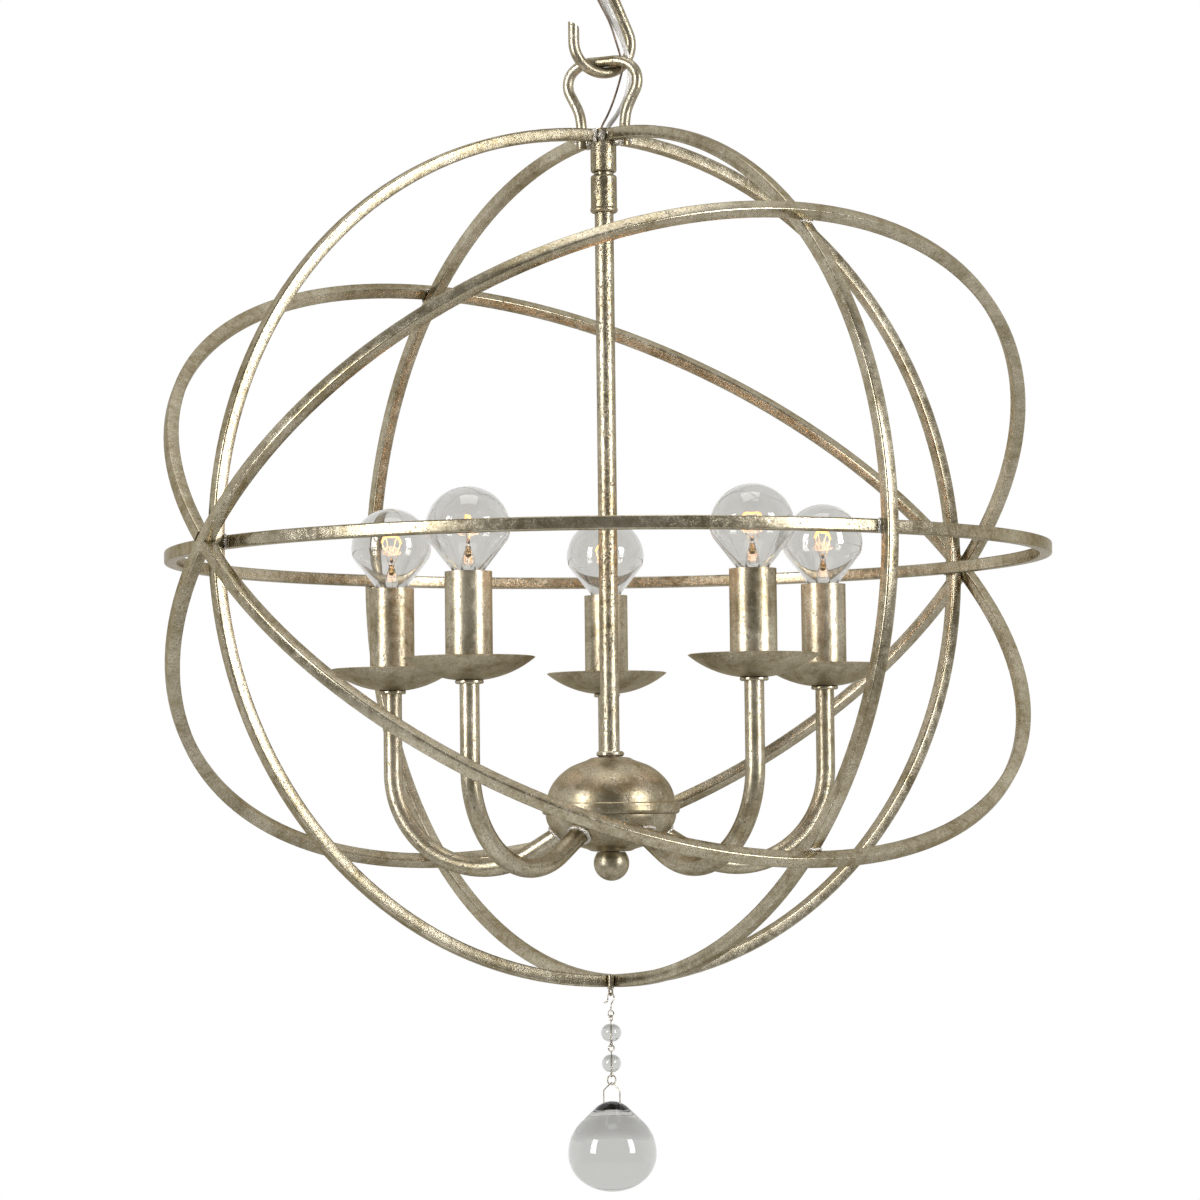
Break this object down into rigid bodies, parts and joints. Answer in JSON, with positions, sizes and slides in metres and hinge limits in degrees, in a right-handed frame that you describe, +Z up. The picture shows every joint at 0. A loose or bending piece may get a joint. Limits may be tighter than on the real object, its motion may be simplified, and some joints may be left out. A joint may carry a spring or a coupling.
{
  "type": "orb chandelier",
  "caption": "Open globe cage of flattened square-bar rings with a candle-arm cluster on a central stem, hook, loop and a hanging glass bead drop.",
  "frame": {"origin": "top end of the ceiling hook's round shank, on the vertical axis of the orb", "axes": "+Z up along the stem, +X to the right in the picture, +Y away from the camera"},
  "size_m": [0.5587, 0.5588, 0.8007],
  "materials": {
    "silver_leaf": "antiqued silver leaf with dark speckles, satin",
    "weld_metal": "bright weld metal under the leaf, pitted at its edges",
    "clear_glass": "clear and polished",
    "brass": "bright screw shell",
    "silver_wire": "bright plated wire",
    "zinc_steel": "zinc plated",
    "socket_moulding": "black moulding",
    "clear_cord": "clear insulation over two tinned conductors",
    "bare_copper": "darkened bare copper",
    "wire_sleeving": "black insulation",
    "connector_moulding": "orange moulding"
  },
  "bodies": {
    "hook_body": {"hook": "silver_leaf"},
    "cage": {"equator_ring": "silver_leaf", "meridian_ring_1": "silver_leaf", "meridian_ring_2": "silver_leaf", "tilted_ring_1": "silver_leaf", "tilted_ring_2": "silver_leaf", "top_collar": "silver_leaf", "hanging_loop": "silver_leaf", "bottom_eyelet": "silver_leaf", "weld_beads": "weld_metal", "swivel_nipple": "silver_leaf", "lead_cord": "clear_cord", "ground_wire": "bare_copper"},
    "cluster": {"swivel_collar": "silver_leaf", "set_screw": "zinc_steel", "stem_tube": "silver_leaf", "seat_washers": "zinc_steel", "hub_dome": "silver_leaf", "hub_bowl": "silver_leaf", "hub_nipple": "zinc_steel", "locknuts": "zinc_steel", "finial_ball": "silver_leaf", "arm_1": "silver_leaf", "arm_2": "silver_leaf", "arm_3": "silver_leaf", "arm_4": "silver_leaf", "arm_5": "silver_leaf", "arm_welds": "weld_metal", "arm_nipples": "zinc_steel", "arm_wires": "wire_sleeving", "drip_pan_1": "silver_leaf", "drip_pan_2": "silver_leaf", "drip_pan_3": "silver_leaf", "drip_pan_4": "silver_leaf", "drip_pan_5": "silver_leaf", "candle_sleeve_1": "silver_leaf", "candle_sleeve_2": "silver_leaf", "candle_sleeve_3": "silver_leaf", "candle_sleeve_4": "silver_leaf", "candle_sleeve_5": "silver_leaf", "lamp_sockets": "socket_moulding", "wire_connectors": "connector_moulding"},
    "drop_hook_body": {"drop_hook": "silver_wire"},
    "pin_1_body": {"bead_1_pin": "silver_wire"},
    "bead_1_body": {"bead_1": "clear_glass"},
    "pin_2_body": {"bead_2_pin": "silver_wire"},
    "bead_2_body": {"bead_2": "clear_glass"},
    "jump_ring_body": {"jump_ring": "silver_wire"},
    "drop_body": {"drop_bail": "silver_wire", "glass_drop": "clear_glass"},
    "bulb_1": {"bulb_glass_1": "clear_glass", "bulb_base_1": "brass"},
    "bulb_2": {"bulb_glass_2": "clear_glass", "bulb_base_2": "brass"},
    "bulb_3": {"bulb_glass_3": "clear_glass", "bulb_base_3": "brass"},
    "bulb_4": {"bulb_glass_4": "clear_glass", "bulb_base_4": "brass"},
    "bulb_5": {"bulb_glass_5": "clear_glass", "bulb_base_5": "brass"}
  },
  "joints": [
    {"name": "cage_swing", "type": "hinge", "parent": "hook_body", "child": "cage", "pos_m": [0, 0, -0.08138], "axis": [0.9397, 0.342, 0], "range_deg": [-12, 12], "deforming": ["lead_cord", "ground_wire"]},
    {"name": "stem_swivel", "type": "hinge", "parent": "cage", "child": "cluster", "pos_m": [0, 0, -0.152], "axis": [0, 0, 1], "range_deg": [-160, 160], "deforming": ["lead_cord", "ground_wire"]},
    {"name": "bulb_1_out", "type": "slide", "parent": "cluster", "child": "bulb_1", "axis": [0, 0, 1], "range_m": [0, 0.025]},
    {"name": "bulb_2_out", "type": "slide", "parent": "cluster", "child": "bulb_2", "axis": [0, 0, 1], "range_m": [0, 0.025]},
    {"name": "bulb_3_out", "type": "slide", "parent": "cluster", "child": "bulb_3", "axis": [0, 0, 1], "range_m": [0, 0.025]},
    {"name": "bulb_4_out", "type": "slide", "parent": "cluster", "child": "bulb_4", "axis": [0, 0, 1], "range_m": [0, 0.025]},
    {"name": "bulb_5_out", "type": "slide", "parent": "cluster", "child": "bulb_5", "axis": [0, 0, 1], "range_m": [0, 0.025]},
    {"name": "drop_hook_swing", "type": "hinge", "parent": "cage", "child": "drop_hook_body", "pos_m": [-0.00147, -0.00836, -0.66639], "axis": [-0.5, 0.866, 0], "range_deg": [-20, 20]},
    {"name": "pin_1_swing", "type": "hinge", "parent": "drop_hook_body", "child": "pin_1_body", "pos_m": [-0.00147, -0.00836, -0.67989], "axis": [0.866, 0.5, 0], "range_deg": [-20, 20]},
    {"name": "bead_1_spin", "type": "hinge", "parent": "pin_1_body", "child": "bead_1_body", "pos_m": [-0.00147, -0.00836, -0.68979], "axis": [0, 0, 1], "continuous": true},
    {"name": "pin_2_swing", "type": "hinge", "parent": "pin_1_body", "child": "pin_2_body", "pos_m": [-0.00147, -0.00836, -0.69839], "axis": [-0.5, 0.866, 0], "range_deg": [-20, 20]},
    {"name": "bead_2_spin", "type": "hinge", "parent": "pin_2_body", "child": "bead_2_body", "pos_m": [-0.00147, -0.00836, -0.70889], "axis": [0, 0, 1], "continuous": true},
    {"name": "jump_ring_swing", "type": "hinge", "parent": "pin_2_body", "child": "jump_ring_body", "pos_m": [-0.00147, -0.00836, -0.71719], "axis": [-0.5, 0.866, 0], "range_deg": [-20, 20]},
    {"name": "drop_swing", "type": "hinge", "parent": "jump_ring_body", "child": "drop_body", "pos_m": [-0.00147, -0.00836, -0.72209], "axis": [0.866, 0.5, 0], "range_deg": [-20, 20]}
  ]
}
